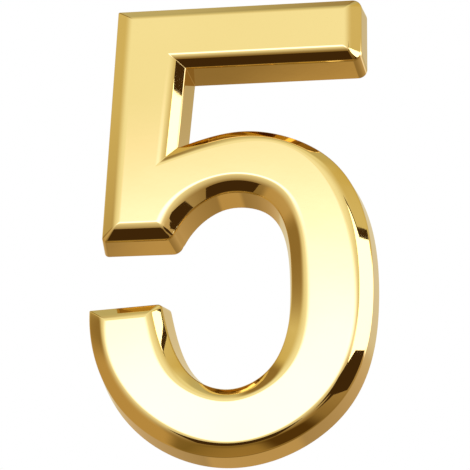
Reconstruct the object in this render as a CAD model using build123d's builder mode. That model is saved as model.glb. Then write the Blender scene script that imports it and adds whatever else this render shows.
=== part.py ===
from build123d import *
import os
from math import cos, hypot, radians, sin

os.makedirs("parts", exist_ok=True)

# Self-adhesive door number 5. Millimetres. X runs to the right as the number is read, Z runs up.
# The number faces -Y, and the plane y = 0 is the wall or door that it is stuck to.
# The origin lies on that plane, behind the middle of the stroke that forms the top of the bowl.

# Depths, each counted from the wall plane towards the viewer
liner_thickness = 0.12
pad_thickness = 1.2
pad_proud = 0.3                 # how far the foam stands out of the moulding's rim
body_depth = 5.0                # rim to face
bevel_depth = 0.95
roof_thickness = 1.3            # plastic left behind the face

rim_level = liner_thickness + pad_proud
seat_level = liner_thickness + pad_thickness
face_level = rim_level + body_depth
bevel_level = face_level - bevel_depth
roof_level = face_level - roof_thickness

# Widths of the bevel seen from the front: broader on upright edges than on level ones
bevel_side = 1.5
bevel_rise = 1.1
wall_draft = 0.45               # how much the side wall spreads from the bevel to the rim
rim_width = 0.9                 # flat rim around the foam
ledge_side = 0.7                # ledge that the foam rests on
ledge_rise = 0.6
hollow_draft = 0.3
pad_clearance = 0.1

base_side = bevel_side + wall_draft
base_rise = bevel_rise + wall_draft
seat_side = base_side - rim_width
seat_rise = base_rise - rim_width
hollow_side = seat_side - ledge_side
hollow_rise = seat_rise - ledge_rise

rib_thickness = 0.8
rib_reach = 0.3                 # how far each rib runs on into the wall

# Outline of the flat face, before the bevel is added around it
face_top = 16.9
bar_height = 4.8
bar_underside = face_top - bar_height
foot_level = -7.05

stem_top_left = (-10.65, face_top)
bar_top_right = (12.85, face_top)
bar_low_right = (12.75, bar_underside)
bar_stem_corner = (-6.0, bar_underside)
foot_left = (-11.9, foot_level)

# Curved stretches as points with the direction of travel in degrees; the outline runs clockwise
bowl = (
    (-7.1, 0.3, 18),            # notch beside the stem
    (2.4, 2.45, 0),
    (9.15, -0.3, -46),
    (13.3, -13.8, -90),
    (10.3, -24.7, -127),
    (-0.1, -30.0, 180),
    (-10.2, -24.95, 130),
    (-13.15, -16.5, 88),        # tail, outer corner
)
counter = (
    (-8.35, -16.2, -78),        # tail, inner corner
    (-4.85, -23.55, -37),
    (-0.15, -25.25, 0),
    (4.4, -23.55, 38),
    (7.9, -12.3, 90),
    (4.8, -3.25, 147),
    (0.85, -2.1, 180),
    (-1.2, -2.3, 192),
    (-7.15, foot_level, 252),   # foot, right corner
)

# Corner radii of the side wall; the face's own corners stay crisp
crisp = 0.12
bar_top_radius = 0.95
bar_low_radius = 1.0
foot_right_radius = 1.15
foot_left_radius = 0.5
tail_inner_radius = 0.5

# Ribs: across the bar, across the stem, and as spokes of the bowl
bar_ribs = (-1.0, 6.0)
stem_ribs = (8.0, -1.5)
stem_middle = -9.2
stem_rib_length = 9.0
bowl_centre = (0.8, -12.5)
bowl_ribs = (75, 25, -20, -65, -110, -150)
rib_from_centre = 12.0
spoke_length = 18.0


def heading(angle):
    return Vector(cos(radians(angle)), sin(radians(angle)))


def travel(start, end):
    return (Vector(*end[:2]) - Vector(*start[:2])).normalized()


def grown_point(node, side, rise):
    x, z, angle = node
    return Vector(x - side * sin(radians(angle)), z + rise * cos(radians(angle)))


def grown_corner(corner, arriving, leaving, side, rise):
    """The corner after both of its edges have moved outwards, to the left of the way of travel."""
    a = Vector(-arriving.Y, arriving.X)
    b = Vector(-leaving.Y, leaving.X)
    reach_a = hypot(side * a.X, rise * a.Y)
    reach_b = hypot(side * b.X, rise * b.Y)
    cross = a.X * b.Y - a.Y * b.X
    shift_x = (reach_a * b.Y - reach_b * a.Y) / cross
    shift_y = (a.X * reach_b - b.X * reach_a) / cross
    return Vector(*corner[:2]) + Vector(shift_x, shift_y)


def corners(side, rise):
    """The nine corners of the outline, clockwise from the top of the stem."""
    stem_up = travel(foot_left, stem_top_left)
    along_top = travel(stem_top_left, bar_top_right)
    down_end = travel(bar_top_right, bar_low_right)
    along_bar = travel(bar_low_right, bar_stem_corner)
    down_stem = travel(bar_stem_corner, bowl[0])
    onto_bowl = heading(bowl[0][2])
    up_tail = heading(bowl[-1][2])
    along_tail = travel(bowl[-1], counter[0])
    down_tail = heading(counter[0][2])
    onto_foot = heading(counter[-1][2])
    along_foot = travel(counter[-1], foot_left)
    return (
        grown_corner(stem_top_left, stem_up, along_top, side, rise),
        grown_corner(bar_top_right, along_top, down_end, side, rise),
        grown_corner(bar_low_right, down_end, along_bar, side, rise),
        grown_corner(bar_stem_corner, along_bar, down_stem, side, rise),
        grown_corner(bowl[0], down_stem, onto_bowl, side, rise),
        grown_corner(bowl[-1], up_tail, along_tail, side, rise),
        grown_corner(counter[0], along_tail, down_tail, side, rise),
        grown_corner(counter[-1], onto_foot, along_foot, side, rise),
        grown_corner(foot_left, along_foot, stem_up, side, rise),
    )


def stations(nodes, start, end, side, rise):
    return [start] + [grown_point(node, side, rise) for node in nodes[1:-1]] + [end]


def smooth(nodes, points, reference):
    """Spline through the points, spaced like the reference so that lofts run straight across."""
    spacing = [0.0]
    for here, there in zip(reference, reference[1:]):
        spacing.append(spacing[-1] + (there - here).length)
    pace_out = (points[1] - points[0]).length / spacing[1]
    pace_in = (points[-1] - points[-2]).length / (spacing[-1] - spacing[-2])
    ends = [heading(nodes[0][2]) * pace_out, heading(nodes[-1][2]) * pace_in]
    return Edge.make_spline(points, tangents=ends, parameters=spacing, scale=False)


def curves(side, rise):
    """The stations of the bowl and of the counter, from corner to corner."""
    _, _, _, _, notch, tail_outer, tail_inner, foot_right, _ = corners(side, rise)
    around_bowl = stations(bowl, notch, tail_outer, side, rise)
    around_counter = stations(counter, tail_inner, foot_right, side, rise)
    return around_bowl, around_counter


def digit(side, rise, radii):
    """The digit's outline grown by side on upright edges and by rise on level ones, as a flat shape.

    The radii belong to the seven outer corners, in the order in which the outline passes them.
    """
    a, b, c, d, e, f, g, h, i = corners(side, rise)
    around_bowl, around_counter = curves(side, rise)
    bowl_reference, counter_reference = curves(base_side / 2, base_rise / 2)
    with BuildSketch() as shape:
        with BuildLine():
            Polyline(a, b, c, d, e)
            add(smooth(bowl, around_bowl, bowl_reference))
            Line(f, g)
            add(smooth(counter, around_counter, counter_reference))
            Polyline(h, i, a)
        make_face()
        for corner, radius in zip((a, b, c, f, g, h, i), radii):
            fillet(shape.vertices().sort_by_distance(corner)[0], radius)
    return shape.sketch


wall_radii = (
    crisp,
    bar_top_radius,
    bar_low_radius,
    crisp,
    tail_inner_radius,
    foot_right_radius,
    foot_left_radius,
)
face_radii = (crisp,) * len(wall_radii)
pad_radii = (0.4,) * len(wall_radii)

# Number: one moulded and plated shell, hollow behind, with a recessed seat for the foam
with BuildPart() as number_body:
    with BuildSketch(Plane.XZ.offset(rim_level)):
        add(digit(base_side, base_rise, wall_radii))
    with BuildSketch(Plane.XZ.offset(bevel_level)):
        add(digit(bevel_side, bevel_rise, wall_radii))
    with BuildSketch(Plane.XZ.offset(face_level)):
        add(digit(0, 0, face_radii))
    loft(ruled=True)

    # Recess that the foam sits in
    with BuildSketch(Plane.XZ.offset(rim_level)):
        add(digit(seat_side, seat_rise, pad_radii))
    extrude(amount=seat_level - rim_level, mode=Mode.SUBTRACT)

    # Hollow behind the face, inside a ledge around the recess, narrower towards the face to leave the mould
    with BuildSketch(Plane.XZ.offset(seat_level)):
        add(digit(hollow_side, hollow_rise, pad_radii))
    with BuildSketch(Plane.XZ.offset(roof_level)):
        add(digit(hollow_side - hollow_draft, hollow_rise - hollow_draft, pad_radii))
    loft(ruled=True, mode=Mode.SUBTRACT)

    # Ribs across the hollow, level with the ledge, so that the foam is backed between the walls
    with BuildSketch(Plane.XZ.offset(seat_level)):
        for x in bar_ribs:
            with Locations((x, face_top - bar_height / 2)):
                Rectangle(rib_thickness, bar_height + 2 * rib_reach)
        for z in stem_ribs:
            with Locations((stem_middle, z)):
                Rectangle(stem_rib_length, rib_thickness)
        for angle in bowl_ribs:
            with Locations(bowl_centre):
                with PolarLocations(rib_from_centre, 1, start_angle=angle):
                    Rectangle(spoke_length, rib_thickness)
        add(digit(hollow_side + rib_reach, hollow_rise + rib_reach, pad_radii), mode=Mode.INTERSECT)
    extrude(amount=roof_level - seat_level + rib_reach)
number_body.part.label = "number_body"
export_step(number_body.part, "parts/number_body.step")

# Foam pad, die-cut to the recess and coated with adhesive on both faces
with BuildPart() as adhesive_pad:
    with BuildSketch(Plane.XZ.offset(liner_thickness)):
        add(digit(seat_side - pad_clearance, seat_rise - pad_clearance, pad_radii))
    extrude(amount=pad_thickness)
adhesive_pad.part.label = "adhesive_pad"
export_step(adhesive_pad.part, "parts/adhesive_pad.step")

# Release paper, cut with the foam, that keeps the adhesive clean until the number is put up
with BuildPart() as release_liner:
    with BuildSketch(Plane.XZ):
        add(digit(seat_side - pad_clearance, seat_rise - pad_clearance, pad_radii))
    extrude(amount=liner_thickness)
release_liner.part.label = "release_liner"
export_step(release_liner.part, "parts/release_liner.step")

for piece in (number_body, adhesive_pad, release_liner):
    print(piece.part.label, round(piece.part.volume, 1), "cubic mm", piece.part.bounding_box())
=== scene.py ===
# %% [markdown]
# # A gold stick-on door number
#
# The object is a digit five, 50 mm high. It is one thin plastic moulding, plated bright gold, with a pad of
# double-sided foam in its back and a paper over the foam's glue. The imported CAD part gives the real size and
# the place, so the first step loads it, and its box later gives the levels.

# %% Load the imported part
from math import atan2, copysign, cos, hypot, radians, sin, tan

import bmesh
import bpy
import numpy as np
from mathutils import Matrix, Vector


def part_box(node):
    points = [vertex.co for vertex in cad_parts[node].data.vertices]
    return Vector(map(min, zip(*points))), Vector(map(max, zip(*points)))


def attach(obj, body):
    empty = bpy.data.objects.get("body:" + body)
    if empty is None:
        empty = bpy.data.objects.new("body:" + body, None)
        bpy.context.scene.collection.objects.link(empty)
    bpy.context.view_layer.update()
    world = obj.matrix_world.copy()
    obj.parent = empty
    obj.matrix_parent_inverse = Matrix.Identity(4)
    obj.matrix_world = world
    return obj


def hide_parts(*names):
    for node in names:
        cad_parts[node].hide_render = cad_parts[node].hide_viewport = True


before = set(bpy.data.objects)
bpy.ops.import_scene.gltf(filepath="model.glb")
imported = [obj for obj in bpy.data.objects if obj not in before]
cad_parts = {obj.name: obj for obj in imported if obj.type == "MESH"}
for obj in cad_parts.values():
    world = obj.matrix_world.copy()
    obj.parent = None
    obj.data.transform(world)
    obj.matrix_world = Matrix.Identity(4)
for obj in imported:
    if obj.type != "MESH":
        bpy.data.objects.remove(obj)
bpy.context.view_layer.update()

print("nodes:", sorted(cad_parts))

# %% [markdown]
# ## Levels of the moulding
#
# The number faces -Y and sticks to the plane y = 0, so a level is how far a plane lies in front of the door.
# The face and the rim are read from the CAD node. The bevel, the foam's recess and the hollow behind the face
# are steps from those two. Everything below is in millimetres until a vertex is placed, because that is how
# such a part is drawn.

# %% Levels, in millimetres in front of the door
mm = 0.001
lowest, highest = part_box("number_body")
face_level = -lowest.y / mm
rim_level = -highest.y / mm
bevel_depth = 0.95
roof_thickness = 1.3
pad_proud = 0.3
pad_thickness = 1.2
liner_thickness = rim_level - pad_proud
seat_level = liner_thickness + pad_thickness
bevel_level = face_level - bevel_depth
roof_level = face_level - roof_thickness
print("rim %.2f, seat %.2f, roof %.2f, bevel foot %.2f, face %.2f" % (
    rim_level, seat_level, roof_level, bevel_level, face_level))

# %% [markdown]
# ## The digit's outline
#
# A five has straight strokes, two long curves and nine corners. The curves are given by a few stations, each
# with the direction in which the outline passes it, and a smooth spline joins them. The bevel is wider on
# upright edges than on level ones, so the outline grows by one amount sideways and by another upwards. A
# font's five would be quicker, but it would have neither these proportions nor a bevel of two widths.

# %% Outline of the flat face, before the bevel is added
face_top = 16.9
bar_underside = 12.1
foot_level = -7.05
stem_top_left = (-10.65, face_top)
bar_top_right = (12.85, face_top)
bar_low_right = (12.75, bar_underside)
bar_stem_corner = (-6.0, bar_underside)
foot_left = (-11.9, foot_level)

bowl = (
    (-7.1, 0.3, 18),            # notch beside the stem
    (2.4, 2.45, 0),
    (9.15, -0.3, -46),
    (13.3, -13.8, -90),
    (10.3, -24.7, -127),
    (-0.1, -30.0, 180),
    (-10.2, -24.95, 130),
    (-13.15, -16.5, 88),        # tail, outer corner
)
counter = (
    (-8.35, -16.2, -78),        # tail, inner corner
    (-4.85, -23.55, -37),
    (-0.15, -25.25, 0),
    (4.4, -23.55, 38),
    (7.9, -12.3, 90),
    (4.8, -3.25, 147),
    (0.85, -2.1, 180),
    (-1.2, -2.3, 192),
    (-7.15, foot_level, 252),   # foot, right corner
)
print("stations: %d round the bowl, %d round the counter" % (len(bowl), len(counter)))

# %% [markdown]
# ## Growing the outline
#
# The bevel's foot and the rim have the face's outline too, but larger. A corner stays a corner when it grows:
# both of its edges move outwards, and the new corner is where they meet. Scaling the whole outline would be
# simpler, but then the counter would grow as well instead of closing in.

# %% Directions, and one corner that grows
def flat(x, z):
    return np.array((x, z), float)


def heading(angle):
    return flat(cos(radians(angle)), sin(radians(angle)))


def travel(start, end):
    step = flat(*end[:2]) - flat(*start[:2])
    return step / np.linalg.norm(step)


def grown_corner(corner, arriving, leaving, side, rise):
    """The corner after both of its edges have moved outwards, to the left of the way of travel."""
    out_before = flat(-arriving[1], arriving[0])
    out_after = flat(-leaving[1], leaving[0])
    reach_before = hypot(side * out_before[0], rise * out_before[1])
    reach_after = hypot(side * out_after[0], rise * out_after[1])
    sign = copysign(1, side) if side else 1
    moved = sign * flat(reach_before, reach_after)
    return flat(*corner[:2]) + np.linalg.solve(np.array((out_before, out_after)), moved)


print("half-way between right and up:", heading(45).round(3))

# %% [markdown]
# The outline runs clockwise from the top of the stem. Each corner is kept with the directions in which the
# outline arrives at it and leaves it. A straight edge has one direction, and a curve has that of its first or
# last station. Two of the nine corners point inwards: the one under the bar and the notch beside the stem.

# %% The nine corners and their directions
stem_up = travel(foot_left, stem_top_left)
along_top = travel(stem_top_left, bar_top_right)
down_end = travel(bar_top_right, bar_low_right)
along_bar = travel(bar_low_right, bar_stem_corner)
down_stem = travel(bar_stem_corner, bowl[0])
onto_bowl = heading(bowl[0][2])
up_tail = heading(bowl[-1][2])
along_tail = travel(bowl[-1], counter[0])
down_tail = heading(counter[0][2])
onto_foot = heading(counter[-1][2])
along_foot = travel(counter[-1], foot_left)

corner_edges = (
    (stem_top_left, stem_up, along_top),
    (bar_top_right, along_top, down_end),
    (bar_low_right, down_end, along_bar),
    (bar_stem_corner, along_bar, down_stem),
    (bowl[0], down_stem, onto_bowl),
    (bowl[-1], up_tail, along_tail),
    (counter[0], along_tail, down_tail),
    (counter[-1], onto_foot, along_foot),
    (foot_left, along_foot, stem_up),
)
notch, tail_outer, tail_inner, foot_right = 4, 5, 6, 7
print("corners:", len(corner_edges))

# %% [markdown]
# ## Curves between the corners
#
# Each long curve is a cubic spline that keeps a steady bend from station to station. A curve object could
# draw it too, but its handles don't follow when the outline grows. Here the slopes at the stations come from
# one small set of equations, the same for every grown copy.

# %% Stations of a grown curve, and the slopes of the spline through them
def grown_stations(nodes, start, end, side, rise):
    inner = []
    for x, z, angle in nodes[1:-1]:
        inner.append(flat(x - side * sin(radians(angle)), z + rise * cos(radians(angle))))
    return np.array([start, *inner, end])


def spline_slopes(points, spacing, first, last):
    """Slope at each station of the cubic spline that leaves and ends with the given slopes."""
    count = len(points)
    matrix, values = np.zeros((count, count)), np.zeros((count, 2))
    matrix[0, 0] = matrix[-1, -1] = 1
    values[0], values[-1] = first, last
    for i in range(1, count - 1):
        before, after = spacing[i] - spacing[i - 1], spacing[i + 1] - spacing[i]
        step_in, step_out = points[i] - points[i - 1], points[i + 1] - points[i]
        matrix[i, i - 1:i + 2] = after, 2 * (before + after), before
        values[i] = 3 * (after / before * step_in + before / after * step_out)
    return np.linalg.solve(matrix, values)


# %% [markdown]
# The samples along a curve are spaced by the same parameter in every grown copy, so a sample always has its
# partner straight across the bevel. That keeps the bevel smooth, and a plated surface shows the smallest
# twist. Near a corner the samples make room for the corner's arc, and they do so little by little.

# %% Samples along a curve
sample_gap = 0.45
corner_fade = 4.0


def curve_points(nodes, points, spacing, cut_first, cut_last):
    """Samples along the spline, less the lengths that the corner arcs at its ends take up."""
    gaps = np.diff(spacing)
    pace = np.linalg.norm(np.diff(points, axis=0), axis=1) / gaps
    leaving, arriving = heading(nodes[0][2]) * pace[0], heading(nodes[-1][2]) * pace[-1]
    slopes = spline_slopes(points, spacing, leaving, arriving)
    whole = spacing[-1]
    along = np.linspace(0, whole, int(whole / sample_gap) + 1)
    from_first = cut_first / pace[0] * np.clip(1 - along / corner_fade, 0, 1) ** 2
    from_last = cut_last / pace[-1] * np.clip(1 - (whole - along) / corner_fade, 0, 1) ** 2
    along = (along + from_first - from_last)[1:-1]

    # i is the station before each sample, and s is the sample's share of the way to the next station
    i = np.clip(np.searchsorted(spacing, along) - 1, 0, len(gaps) - 1)
    s = ((along - spacing[i]) / gaps[i])[:, None]
    gap = gaps[i][:, None]
    start_part = (2 * s ** 3 - 3 * s ** 2 + 1) * points[i] + (s ** 3 - 2 * s ** 2 + s) * gap * slopes[i]
    end_part = (3 * s ** 2 - 2 * s ** 3) * points[i + 1] + (s ** 3 - s ** 2) * gap * slopes[i + 1]
    return list(start_part + end_part)


# %% [markdown]
# ## Corners
#
# The mould was cut with a small tool, so the side wall's corners are rounded, while the polished face runs
# into sharp ones. Each corner is an arc with a fixed number of steps. The arc's radius may change from one
# grown copy to the next, and the copies still match vertex for vertex, which the Bevel tool can't promise.

# %% The arc at a corner
arc_steps = 8


def turn_between(arriving, leaving):
    return atan2(arriving[0] * leaving[1] - arriving[1] * leaving[0], float(arriving @ leaving))


def corner_arc(corner, arriving, leaving, radius):
    turn = turn_between(arriving, leaving)
    start = corner - arriving * radius * tan(abs(turn) / 2)
    to_centre = copysign(radius, turn) * flat(-arriving[1], arriving[0])
    points = []
    for step in range(arc_steps + 1):
        angle = turn * step / arc_steps
        rotation = np.array(((cos(angle), -sin(angle)), (sin(angle), cos(angle))))
        points.append(start + to_centre - rotation @ to_centre)
    return points


print("turn at the top of the stem: %.1f degrees" % np.degrees(turn_between(stem_up, along_top)))

# %% [markdown]
# Every copy of the outline needs nine radii, one for each corner in the order of the outline. The face keeps
# crisp corners, and the wall has the tool's radii. The foam and its recess are a little rounder than the
# face, because a cutting die can't be sharp. The two inward corners stay tight in all three.

# %% Radii of the corners
crisp = 0.12
inward = 0.05
die_cut = 0.4
bar_top_radius = 0.95
bar_low_radius = 1.0
tail_inner_radius = 0.5
foot_right_radius = 1.15
foot_left_radius = 0.5

face_radii = 3 * (crisp,) + 2 * (inward,) + 4 * (crisp,)
pad_radii = 3 * (die_cut,) + 2 * (inward,) + 4 * (die_cut,)
wall_radii = (
    crisp,
    bar_top_radius,
    bar_low_radius,
    inward,
    inward,
    crisp,
    tail_inner_radius,
    foot_right_radius,
    foot_left_radius,
)
print("radii:", len(face_radii), len(pad_radii), len(wall_radii))

# %% [markdown]
# Arcs and curves together make the whole outline. It is worked out afresh for each growth, from the face to
# the rim and from the rim back into the hollow, and it always has the same number of points.

# %% The whole outline at any growth
bevel_side, bevel_rise = 1.5, 1.1
wall_draft = 0.45
base_side, base_rise = bevel_side + wall_draft, bevel_rise + wall_draft


def curve_between(nodes, first, last, corners, cuts, side, rise):
    """The curve from one corner to another, spaced as it is half-way between the face and the rim."""
    middle = [grown_corner(*corner_edges[k], base_side / 2, base_rise / 2) for k in (first, last)]
    reference = grown_stations(nodes, *middle, base_side / 2, base_rise / 2)
    spacing = np.concatenate(([0], np.cumsum(np.linalg.norm(np.diff(reference, axis=0), axis=1))))
    points = grown_stations(nodes, corners[first], corners[last], side, rise)
    return curve_points(nodes, points, spacing, cuts[first], cuts[last])


def outline(side, rise, radii):
    """Points round the digit, clockwise from the top of the stem, grown by side and rise."""
    corners = [grown_corner(*edges, side, rise) for edges in corner_edges]
    arcs = []
    for corner, (_, arriving, leaving), radius in zip(corners, corner_edges, radii):
        arcs.append(corner_arc(corner, arriving, leaving, radius))
    cuts = [float(np.linalg.norm(arc[0] - corner)) for arc, corner in zip(arcs, corners)]
    curves = {
        notch: curve_between(bowl, notch, tail_outer, corners, cuts, side, rise),
        tail_inner: curve_between(counter, tail_inner, foot_right, corners, cuts, side, rise),
    }
    ring = []
    for k, arc in enumerate(arcs):
        ring += arc + curves.get(k, [])
    return ring


rim_outline = np.array(outline(base_side, base_rise, wall_radii))
print("points in a ring:", len(rim_outline))
print("rim %.2f x %.2f mm" % tuple(rim_outline.max(0) - rim_outline.min(0)))

# %% [markdown]
# ## From ring to ring
#
# The moulding is shaped as a mould maker would cut it: one outline is extruded again and again, and each new
# ring of vertices moves to its own growth and level. Extruding keeps every ring joined to the one before, so
# the shell comes out closed. A Solidify modifier on a flat five would be simpler, but it knows only one
# thickness and no ledge for the foam.

# %% Extrude a ring of vertices to its next place
def placed(point, level):
    return Vector((point[0], -level, point[1])) * mm


def move_ring(verts, ring, level):
    for vert, point in zip(verts, ring):
        vert.co = placed(point, level)
    return list(verts)


def ring_edges(bm, verts):
    return [bm.edges.get((here, there)) for here, there in zip(verts, verts[1:] + verts[:1])]


def twin_of(vert):
    """The vertex that extruding has just made in the same place."""
    joined = [edge.other_vert(vert) for edge in vert.link_edges]
    return next(other for other in joined if (other.co - vert.co).length == 0)


def next_ring(bm, verts, ring, level):
    bmesh.ops.extrude_edge_only(bm, edges=ring_edges(bm, verts))
    return move_ring([twin_of(vert) for vert in verts], ring, level)


# %% [markdown]
# A shell starts as a circle of vertices that takes on the first outline, and then it grows ring by ring. A
# flat cap closes each end, and all between the caps is shaded smooth.

# %% A closed shell, and a piece in the scene
def shell_from(sections):
    """Closed mesh through a list of (ring, level), capped at both ends."""
    bm = bmesh.new()
    ring, level = sections[0]
    verts = move_ring(bmesh.ops.create_circle(bm, segments=len(ring), radius=mm)["verts"], ring, level)
    caps = bmesh.ops.edgeloop_fill(bm, edges=ring_edges(bm, verts))["faces"]
    for ring, level in sections[1:]:
        verts = next_ring(bm, verts, ring, level)
    caps += bmesh.ops.edgeloop_fill(bm, edges=ring_edges(bm, verts))["faces"]
    bmesh.ops.recalc_face_normals(bm, faces=bm.faces)
    for face in bm.faces:
        face.smooth = face not in caps
    return bm


def finished_piece(bm, name):
    mesh = bpy.data.meshes.new(name)
    bm.to_mesh(mesh)
    bm.free()
    piece = bpy.data.objects.new(name, mesh)
    bpy.context.collection.objects.link(piece)
    print(name, len(mesh.polygons), "faces")
    return piece


# %% [markdown]
# ## The section of the moulding
#
# A section is a list of growths and levels. The front's section runs from the flat face over the bevel, down
# the side wall and to the rim. Polishing before plating softens the bends of the front, the one between face
# and bevel most of all, and the photo shows it as a broad gradient where the reflection changes. Each bend is
# a short curve between the two straight parts, so its width is set here and not by a Bevel modifier.

# %% Section of the front: face, bevel and side wall
face_softness = 0.7
foot_softness = 0.2
rim_softness = 0.06
bend_steps = 8
rim_width = 0.9
seat_side, seat_rise = base_side - rim_width, base_rise - rim_width

on_face = np.array((-bevel_side, -bevel_rise, face_level))
face_edge = np.array((0, 0, face_level))
bevel_foot = np.array((bevel_side, bevel_rise, bevel_level))
rim_edge = np.array((base_side, base_rise, rim_level))
rim_inner = np.array((seat_side, seat_rise, rim_level))


def bend(before, corner, after, reach):
    """Points of a soft bend at the corner, which starts and ends that far from it."""
    start = corner + (before - corner) * reach / np.linalg.norm(before - corner)
    end = corner + (after - corner) * reach / np.linalg.norm(after - corner)
    steps = [k / bend_steps for k in range(bend_steps + 1)]
    return [(1 - s) ** 2 * start + 2 * s * (1 - s) * corner + s ** 2 * end for s in steps]


front_section = [
    *bend(on_face, face_edge, bevel_foot, face_softness),
    *bend(face_edge, bevel_foot, rim_edge, foot_softness),
    *bend(bevel_foot, rim_edge, rim_inner, rim_softness),
]
print("rings in the front's section:", len(front_section))

# %% [markdown]
# Two things change on the way down the bevel. The corners open from crisp ones at the face to the wall's own
# radii. And over the foot and in the top of the counter the photo shows a broader bevel than on the other
# level edges, so the face's edge lies higher there, while the bevel's foot keeps its place. The lift fades
# out down the counter's right flank.

# %% The front's rings, with opening corners and two broader stretches of bevel
low_edge_lift = 0.38
lift_bottom, lift_top = -11.5, -1
lift_right_end = 8.5
flank_start = 4.8
fade_bottom, fade_height = -11, 6


def way_down_bevel(side):
    """How far down the bevel a ring lies, from 0 at the face's edge to 1 at the bevel's foot."""
    return min(max(side / bevel_side, 0), 1)


def corner_radii(side):
    share = way_down_bevel(side)
    return [sharp + (wide - sharp) * share for sharp, wide in zip(face_radii, wall_radii)]


def broader_below(ring, side):
    """Lifts the face's edge over the foot and the counter's top, where the bevel is broader."""
    way_up = 1 - way_down_bevel(side)
    lifted = []
    for point in ring:
        x, z = point
        inside = lift_bottom < z < lift_top and x < lift_right_end
        fade = min(max((z - fade_bottom) / fade_height, 0), 1) if x > flank_start else 1
        lifted.append(point + flat(0, low_edge_lift * way_up * fade * inside))
    return lifted


front_rings = []
for side, rise, level in front_section:
    ring = outline(side, rise, corner_radii(side))
    front_rings.append((broader_below(ring, side), level))
print("front rings:", len(front_rings))

# %% [markdown]
# ## The hollow back
#
# Such a number is hollow, because thick plastic would sink in as it cools and spoil the plated face. The rim
# is flat, a shallow recess seats the foam, and a ledge holds the foam's edge. A Boolean could cut the hollow
# out of a solid digit, but the rings that make the front can simply run on, over the rim and into the back.

# %% Section of the back and the finished shell
ledge_side, ledge_rise = 0.7, 0.6
hollow_draft = 0.3
hollow_side, hollow_rise = seat_side - ledge_side, seat_rise - ledge_rise
back_section = (
    (seat_side, seat_rise, rim_level),
    (seat_side, seat_rise, seat_level),
    (hollow_side, hollow_rise, seat_level),
    (hollow_side - hollow_draft, hollow_rise - hollow_draft, roof_level),
)
back_rings = [(outline(side, rise, pad_radii), level) for side, rise, level in back_section]
plated_number = finished_piece(shell_from(front_rings + back_rings), "plated_number")
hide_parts("number_body")
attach(plated_number, "root")

# %% [markdown]
# A smooth surface borrows its shading from all the faces around a vertex. Here broad flat faces meet narrow
# bends, so the broad ones should win, or the flat bevel would look swollen. Marking edges as sharp would keep
# it flat too, but would also harden the bends. The Weighted Normal modifier does just what is needed.

# %% Let the broad faces set the shading
weighting = plated_number.modifiers.new("broad_faces_lead", "WEIGHTED_NORMAL")
weighting.mode = "FACE_AREA"
weighting.weight = 100
print("modifier:", weighting.name)

# %% [markdown]
# ## Ribs in the hollow
#
# Thin ribs cross the hollow and back the foam, so that a thumb on the face doesn't press it in. Each rib is a
# cube stretched to size. Its ends are found where its middle line crosses the hollow's outline, and run a
# little way on into the wall, which is simpler than trimming each rib to the curve.

# %% Where a rib's line crosses the hollow
rib_thickness = 0.8
rib_reach = 0.3
hollow_outline = np.array(outline(hollow_side, hollow_rise, pad_radii))


def first_crossings(start, direction):
    """Where the line from the start first enters the hollow and where it leaves it again."""
    here, there = hollow_outline, np.roll(hollow_outline, -1, axis=0)
    span = there - here
    offset = here - start
    cross = direction[0] * span[:, 1] - direction[1] * span[:, 0]
    cross[cross == 0] = np.inf
    along = (offset[:, 0] * span[:, 1] - offset[:, 1] * span[:, 0]) / cross
    share = (offset[:, 0] * direction[1] - offset[:, 1] * direction[0]) / cross
    entry, leaving = sorted(along[(share >= 0) & (share < 1) & (along > 0)])[:2]
    return entry - rib_reach, leaving + rib_reach


print("points round the hollow:", len(hollow_outline))

# %% [markdown]
# Two ribs stand upright in the bar, two lie across the stem, and six run like spokes from the middle of the
# bowl. Each line starts outside the hollow, at the rim's outer edge or, for a spoke, inside the counter.

# %% Ribs
bar_ribs = (-1.0, 6.0)
stem_ribs = (8.0, -1.5)
bowl_centre = flat(0.8, -12.5)
bowl_ribs = (75, 25, -20, -65, -110, -150)


def add_rib(bm, start, direction):
    first, last = first_crossings(start, direction)
    centre = start + direction * (first + last) / 2
    depth = roof_level + rib_reach - seat_level
    size = Matrix.Diagonal(((last - first) * mm, depth * mm, rib_thickness * mm, 1))
    turn = Matrix.Rotation(-atan2(direction[1], direction[0]), 4, "Y")
    place = Matrix.Translation(placed(centre, seat_level + depth / 2))
    bmesh.ops.create_cube(bm, size=1, matrix=place @ turn @ size)


ribs = bmesh.new()
for x in bar_ribs:
    add_rib(ribs, flat(x, bar_underside - base_rise), flat(0, 1))
for z in stem_ribs:
    add_rib(ribs, flat(foot_left[0] - base_side, z), flat(1, 0))
for angle in bowl_ribs:
    add_rib(ribs, bowl_centre, heading(angle))
backing_ribs = finished_piece(ribs, "backing_ribs")
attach(backing_ribs, "root")

# %% [markdown]
# ## The foam pad
#
# The foam is cut by a die from a sheet that has glue on both sides. The die squeezes the foam as it cuts, so
# the edge springs back with a slight waist and soft rims. A plain extrusion would be the CAD solid again. A
# few rings with a small draw-in give the cut edge its form.

# %% Foam pad with a drawn-in cut edge
pad_clearance = 0.1
pad_side, pad_rise = seat_side - pad_clearance, seat_rise - pad_clearance
waist = 0.07
edge_softness = 0.1
foam_steps = 10


def foam_growth(share):
    """How far the cut edge draws in: rounded at both rims and waisted between them."""
    from_rim = min(share, 1 - share) * pad_thickness
    rounding = edge_softness * max(0, 1 - from_rim / edge_softness) ** 2
    return -rounding - waist * sin(radians(180 * share))


foam_rings = []
for step in range(foam_steps + 1):
    share = (1 - cos(radians(180 * step / foam_steps))) / 2
    draw = foam_growth(share)
    ring = outline(pad_side + draw, pad_rise + draw, pad_radii)
    foam_rings.append((ring, liner_thickness + share * pad_thickness))
foam_pad = finished_piece(shell_from(foam_rings), "foam_pad")
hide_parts("adhesive_pad")
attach(foam_pad, "root")

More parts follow.
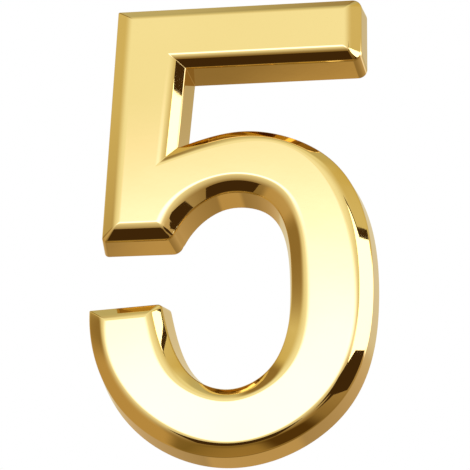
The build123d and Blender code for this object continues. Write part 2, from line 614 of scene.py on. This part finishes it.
# %% [markdown]
# ## Small unevenness
#
# No real surface is even, and noise is the plain way to say so without painting a picture. One noise node
# gives patches, and its value can be stretched to a range of tones or of gloss, or read as a height. The
# noise is laid out in the object's own space, in metres, so its scale is about how many patches lie along one
# metre.

# %% A new material, and noise stretched to a range
def new_material(name):
    material = bpy.data.materials.new(name)
    material.use_nodes = True
    tree = material.node_tree
    print("material", name)
    return material, tree, tree.nodes["Principled BSDF"]


def patches(tree, per_metre, detail=2.0):
    place = tree.nodes.new("ShaderNodeTexCoord")
    texture = tree.nodes.new("ShaderNodeTexNoise")
    texture.inputs["Scale"].default_value = per_metre
    texture.inputs["Detail"].default_value = detail
    tree.links.new(place.outputs["Object"], texture.inputs["Vector"])
    return texture.outputs["Fac"]


def spread(tree, value, low, high):
    """Stretches a noise value over the range from low to high."""
    node = tree.nodes.new("ShaderNodeMapRange")
    node.inputs["From Min"].default_value = 0.3
    node.inputs["From Max"].default_value = 0.7
    node.inputs["To Min"].default_value = low
    node.inputs["To Max"].default_value = high
    tree.links.new(value, node.inputs["Value"])
    return node.outputs["Result"]


# %% [markdown]
# A finish drifts between two tones, and its relief is a Bump node, which tilts the shading but moves no
# vertex. The Mix node has sockets for numbers, vectors and colours under the same names, so the sockets for
# colours are picked by their place in the list.

# %% Two tones mixed, and a relief
first_colour, second_colour, mixed_colour = 6, 7, 2


def mixed(tree, share, first, second):
    """Colour between two others, each of which is a tone or comes from another node."""
    node = tree.nodes.new("ShaderNodeMix")
    node.data_type = "RGBA"
    tree.links.new(share, node.inputs["Factor"])
    for socket, colour in ((first_colour, first), (second_colour, second)):
        if isinstance(colour, tuple):
            node.inputs[socket].default_value = (*colour, 1)
        else:
            tree.links.new(colour, node.inputs[socket])
    return node.outputs[mixed_colour]


def mottle(tree, shader, value, tones):
    """Lets the base colour drift between two tones, as the noise value does."""
    tree.links.new(mixed(tree, spread(tree, value, 0, 1), *tones), shader.inputs["Base Color"])


def relief(tree, value, height, under=None):
    node = tree.nodes.new("ShaderNodeBump")
    node.inputs["Distance"].default_value = height
    node.inputs["Strength"].default_value = 1
    tree.links.new(value, node.inputs["Height"])
    if under is not None:
        tree.links.new(under, node.inputs["Normal"])
    return node.outputs["Normal"]


# %% [markdown]
# ## Gold plating
#
# Bright gold plate over polished plastic is close to a mirror. Its colour is all in the reflection: red comes
# back best, green less and blue least. What keeps it from looking like a computer's mirror is small. The
# moulding is very slightly wavy, the polish has a faint haze, and the plate's tone drifts a little across it.

# %% Gold plating material
gold_tones = (0.79, 0.60, 0.24), (0.81, 0.62, 0.26)
haze = 0.02, 0.04
wave_height = 0.01 * mm
polish_height = 0.0006 * mm

gold, tree, shader = new_material("bright_gold_plate")
shader.inputs["Metallic"].default_value = 1.0
mottle(tree, shader, patches(tree, per_metre=60), gold_tones)
tree.links.new(spread(tree, patches(tree, per_metre=900, detail=4), *haze), shader.inputs["Roughness"])
waves = relief(tree, patches(tree, per_metre=120), wave_height)
polish = relief(tree, patches(tree, per_metre=1500), polish_height, under=waves)
tree.links.new(polish, shader.inputs["Normal"])
for piece in (plated_number, backing_ribs):
    piece.data.materials.append(gold)

# %% [markdown]
# ## Foam and release paper
#
# White foam looks solid from afar, but a close look shows its cells, cut open along the edge. A Voronoi
# pattern gives cells of the right kind, and it is only bump, because a real cell is a tenth of a millimetre.

# %% Foam material
foam_tones = (0.80, 0.80, 0.77), (0.89, 0.89, 0.87)
cells_per_metre = 6000
cell_depth = 0.05 * mm

foam, tree, shader = new_material("white_cell_foam")
mottle(tree, shader, patches(tree, per_metre=700, detail=6), foam_tones)
shader.inputs["Roughness"].default_value = 0.85
place = tree.nodes.new("ShaderNodeTexCoord")
cells = tree.nodes.new("ShaderNodeTexVoronoi")
cells.inputs["Scale"].default_value = cells_per_metre
tree.links.new(place.outputs["Object"], cells.inputs["Vector"])
tree.links.new(relief(tree, cells.outputs["Distance"], cell_depth), shader.inputs["Normal"])
foam_pad.data.materials.append(foam)

# %% [markdown]
# The release paper is cream, faintly mottled by its fibres, and has a dull sheen from its silicone coat. Its
# shape is only a flat sheet, so the CAD node itself stays in the scene and takes the finish.

# %% Release paper material
paper_tones = (0.84, 0.79, 0.66), (0.90, 0.86, 0.75)
fibre_height = 0.01 * mm

paper, tree, shader = new_material("cream_release_paper")
mottle(tree, shader, patches(tree, per_metre=1800, detail=8), paper_tones)
shader.inputs["Roughness"].default_value = 0.45
fibres = relief(tree, patches(tree, per_metre=2500, detail=6), fibre_height)
tree.links.new(fibres, shader.inputs["Normal"])
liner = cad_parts["release_liner"]
liner.data.materials.clear()
liner.data.materials.append(paper)

# %% [markdown]
# ## Floor and light
#
# The number is held by its back, as on a door, so the floor lies well below it and is only a pale ground. The
# foam, the paper and the floor are lit by an even white sky, which is the softest light there is. A lamp or
# two would give the floor a shadow, but their small bright images would show in the plating.

# %% Pale floor
floor_level = -110
floor_side = 6000
grid = bmesh.new()
bmesh.ops.create_grid(grid, x_segments=1, y_segments=1, size=floor_side / 2 * mm)
bmesh.ops.translate(grid, vec=(0, 0, floor_level * mm), verts=grid.verts)
floor = finished_piece(grid, "floor")
floor_paint, tree, shader = new_material("pale_floor")
shader.inputs["Base Color"].default_value = (0.9, 0.9, 0.9, 1)
shader.inputs["Roughness"].default_value = 0.9
floor.data.materials.append(floor_paint)
floor.visible_glossy = False

# %% [markdown]
# ## What the gold mirrors
#
# A mirror shows the room, so the room is half of the picture. The far things of the room are painted on the
# sky, and only mirror rays see them, so the white light on foam, paper and floor stays even. Real walls and
# lamps would do the same, but each would also have to be kept out of the picture. The first layer is a ramp
# from straight below to straight above, in the warm tones of a room with a wooden floor.

# %% Tones of the room, from the floor to the ceiling
straight_below = (0.42, 0.27, 0.10)
straight_above = (0.60, 0.60, 0.45)
room_tones = (
    (-72, (0.38, 0.25, 0.09)),
    (-55, (0.24, 0.16, 0.05)),
    (-35, (0.34, 0.23, 0.10)),
    (0, (0.62, 0.45, 0.25)),
    (25, (0.78, 0.68, 0.38)),
    (50, (0.70, 0.56, 0.20)),
)

world = bpy.data.worlds.new("studio")
bpy.context.scene.world = world
world.use_nodes = True
sky = world.node_tree
direction = sky.nodes.new("ShaderNodeTexCoord").outputs["Generated"]
height = sky.nodes.new("ShaderNodeSeparateXYZ")
sky.links.new(direction, height.inputs["Vector"])
upwards = sky.nodes.new("ShaderNodeMapRange")
upwards.inputs["From Min"].default_value = -1
sky.links.new(height.outputs["Z"], upwards.inputs["Value"])
ramp = sky.nodes.new("ShaderNodeValToRGB")
sky.links.new(upwards.outputs["Result"], ramp.inputs["Fac"])
stops = ramp.color_ramp.elements
stops[0].color = (*straight_below, 1)
stops[1].color = (*straight_above, 1)
for elevation, colour in room_tones:
    stops.new((1 + sin(radians(elevation))) / 2).color = (*colour, 1)
room = ramp.outputs["Color"]
print("tones from floor to ceiling:", len(stops))

# %% [markdown]
# ## Walls and dark things
#
# Each thing in the room is a soft oval laid over the ramp, placed and sized in degrees as seen from the
# number. Azimuth 0 is straight in front of the number, and positive to the right. An ellipse in its own frame
# needs only a Mapping node and a distance from its middle, so no picture has to be painted.

# %% A soft oval on the sky
def towards_sky(azimuth, elevation):
    turn, climb = radians(azimuth), radians(elevation)
    return Vector((sin(turn) * cos(climb), -cos(turn) * cos(climb), sin(climb)))


def hung(room, at, half_size, softness, colour):
    """The room with one more oval over it; its edge fades over the softness, a share of its size."""
    axis = towards_sky(*at)
    across = axis.cross(Vector((0, 0, 1))).normalized()
    turned = Matrix((axis, across, axis.cross(across))).transposed()
    local = sky.nodes.new("ShaderNodeMapping")
    local.vector_type = "TEXTURE"
    local.inputs["Location"].default_value = axis
    local.inputs["Rotation"].default_value = turned.to_euler()
    local.inputs["Scale"].default_value = (1, sin(radians(half_size[0])), sin(radians(half_size[1])))
    sky.links.new(direction, local.inputs["Vector"])
    length = sky.nodes.new("ShaderNodeVectorMath")
    length.operation = "LENGTH"
    sky.links.new(local.outputs["Vector"], length.inputs[0])
    mask = sky.nodes.new("ShaderNodeMapRange")
    mask.interpolation_type = "SMOOTHSTEP"
    mask.inputs["From Min"].default_value = 1 + softness
    mask.inputs["From Max"].default_value = 1 - softness
    sky.links.new(length.outputs["Value"], mask.inputs["Value"])
    print("oval at azimuth %d and elevation %d" % at)
    return mixed(sky, mask.outputs["Result"], room, colour)


# %% [markdown]
# The side walls mirror what stands behind the number and to its left: a pale backdrop, a wooden table and a
# wooden wall. Their edges are nearly sharp, as those of real tables and walls are.

# %% Backdrop, table and wooden wall
backdrop = (0.76, 0.67, 0.46)
wood = (0.58, 0.40, 0.18)
room = hung(room, at=(-160, 25), half_size=(90, 17), softness=0.1, colour=backdrop)
room = hung(room, at=(180, -22), half_size=(12, 14), softness=0.1, colour=wood)
room = hung(room, at=(-95, -21), half_size=(65, 34), softness=0.1, colour=wood)

# %% [markdown]
# The flat face mirrors what is in front of it, a pale wall with a window, and its lower end mirrors the
# brightest part. Both are very soft, so the face brightens evenly downwards, as it does in the photo. A lamp
# stands high on the right.

# %% Pale wall in front, its window and a lamp
pale_wall = (1.15, 1.2, 1.15)
window = (2.4, 2.3, 3.6)
lamp = (1.0, 1.0, 0.8)
room = hung(room, at=(-6, 21), half_size=(40, 40), softness=0.65, colour=pale_wall)
room = hung(room, at=(-2, 9), half_size=(22, 8), softness=0.65, colour=window)
room = hung(room, at=(30, 57), half_size=(15, 11), softness=0.6, colour=lamp)

# %% [markdown]
# A long softbox on the right makes the white bevels. Its far end is a long low oval that runs from the front
# right to the back right. It is brighter than white, because gold gives back only a part of the light.

# %% Far end of the softbox
softbox_light = (2.6, 2.6, 3.0)
room = hung(room, at=(90, 7), half_size=(58, 12), softness=0.2, colour=softbox_light)

# %% [markdown]
# Dark things give a mirror its depth. Beams and a dim corner break up the walls and the ceiling, as in an old
# room, and a dark rug lies on the floor at the front right.

# %% Beams, a dim corner and a dark rug
dim_wood = (0.34, 0.23, 0.09)
dark_rug = (0.10, 0.05, 0.01)
room = hung(room, at=(-70, 10), half_size=(17, 9), softness=0.65, colour=dim_wood)
room = hung(room, at=(-78, 57), half_size=(34, 14), softness=0.35, colour=dim_wood)
room = hung(room, at=(155, 55), half_size=(13, 36), softness=0.3, colour=dim_wood)
room = hung(room, at=(48, -55), half_size=(16, 13), softness=0.4, colour=dark_rug)

# %% [markdown]
# The Light Path node tells the rays apart: mirror rays get the room, and all others an even white. The
# Standard view keeps the white of the sky and the gold's own tone as they are, where a filmic one would grey
# them.

# %% Only mirror rays see the room
white = (1, 1, 1)
ray = sky.nodes.new("ShaderNodeLightPath")
seen = mixed(sky, ray.outputs["Is Glossy Ray"], white, room)
sky.links.new(seen, sky.nodes["Background"].inputs["Color"])
bpy.context.scene.view_settings.view_transform = "Standard"
print("nodes in the sky:", len(sky.nodes))

# %% [markdown]
# ## The near softbox and the black cards
#
# The near end of the softbox and a few black things stand so close that the number's upper and lower parts
# mirror different places of them. A thing painted on the sky is endlessly far away and can't do that, so
# these are real cards, one glowing and the others black. They are kept out of the camera's sight and are seen
# by mirror rays alone.

# %% A flat card that only mirror rays see
def light_card(name, distance, low, high, colour):
    """An upright card that far in front of the number's face, between two corners in millimetres."""
    middle, half = (low + high) / 2, (high - low) / 2
    size = Matrix.Diagonal((half[0] * mm, half[1] * mm, 1, 1))
    upright = Matrix.Rotation(radians(90), 4, "X")
    place = Matrix.Translation(placed(middle, face_level + distance))
    grid = bmesh.new()
    bmesh.ops.create_grid(grid, x_segments=1, y_segments=1, size=1, matrix=place @ upright @ size)
    card = finished_piece(grid, name)
    glow, _, shader = new_material(name)
    shader.inputs["Base Color"].default_value = (0, 0, 0, 1)
    shader.inputs["Specular IOR Level"].default_value = 0
    shader.inputs["Emission Color"].default_value = (*colour, 1)
    shader.inputs["Emission Strength"].default_value = 1
    card.data.materials.append(glow)
    card.visible_camera = False
    card.visible_diffuse = False
    card.visible_shadow = False


# %% [markdown]
# The softbox stands at the right, with a black frame along its upper edge and a black cloth hung from its
# lower one. The bright panel gives the right bevels their white, and the frame and the cloth end it with the
# short dark marks that the photo shows there.

# %% Softbox at the right, with its black frame and cloth
near = 50
card_light = (3.2, 3.2, 3.2)
black = (0.06, 0.03, 0.01)
box_left, box_right = 55, 137
box_low, box_high = -27, 34
frame_width = 6
cloth_height = 41
cloth_left = box_left - 3
light_card("softbox", near, flat(box_left, box_low), flat(box_right, box_high), card_light)
light_card("softbox_frame", near, flat(box_left, box_high), flat(box_right, box_high + frame_width), black)
light_card("black_cloth", near, flat(cloth_left, box_low - cloth_height), flat(box_right, box_low), black)

# %% [markdown]
# A camera stand is set up below the number, and the bevels that look down mirror it. A dark chair stands
# further back at the lower right. Its distance matters as much as its size, because it decides how the
# chair's image shifts from one part of the bowl to the next.

# %% Camera stand below, and a dark chair further back
far = 120
light_card("camera_stand", near, flat(-31, -80), flat(24, -45), black)
light_card("dark_chair", far, flat(68, -78), flat(118, -32), black)

# %% [markdown]
# ## Camera
#
# The photo was taken from a little below the number and a little to its right, from about 18 cm away. The
# lens is given in pixels of the photo, because that is how a camera is fitted to a picture. Turning the
# camera by hand until the edges meet would work too, but the distance and the lens are hard to tell apart by
# eye.

# %% Camera at the photo's angle
photo_side = 470
camera_azimuth, camera_elevation, camera_roll = 6.626, -16.87, radians(-0.235)
camera_distance = 175.6
focal_pixels = 1699.7
aim = placed((0.72, -8.175), face_level)

towards = towards_sky(camera_azimuth, camera_elevation)
level_right = Vector((0, 0, 1)).cross(towards).normalized()
level_up = towards.cross(level_right)
right = cos(camera_roll) * level_right + sin(camera_roll) * level_up
up = cos(camera_roll) * level_up - sin(camera_roll) * level_right
camera_data = bpy.data.cameras.new("camera")
camera_data.sensor_width = 36
camera_data.lens = focal_pixels * camera_data.sensor_width / photo_side
camera_data.clip_start = 10 * mm
camera = bpy.data.objects.new("camera", camera_data)
axes = Matrix((right, up, towards)).transposed().to_4x4()
camera.matrix_world = Matrix.Translation(aim + towards * camera_distance * mm) @ axes
bpy.context.collection.objects.link(camera)
bpy.context.scene.camera = camera
print("lens %.1f mm" % camera_data.lens)
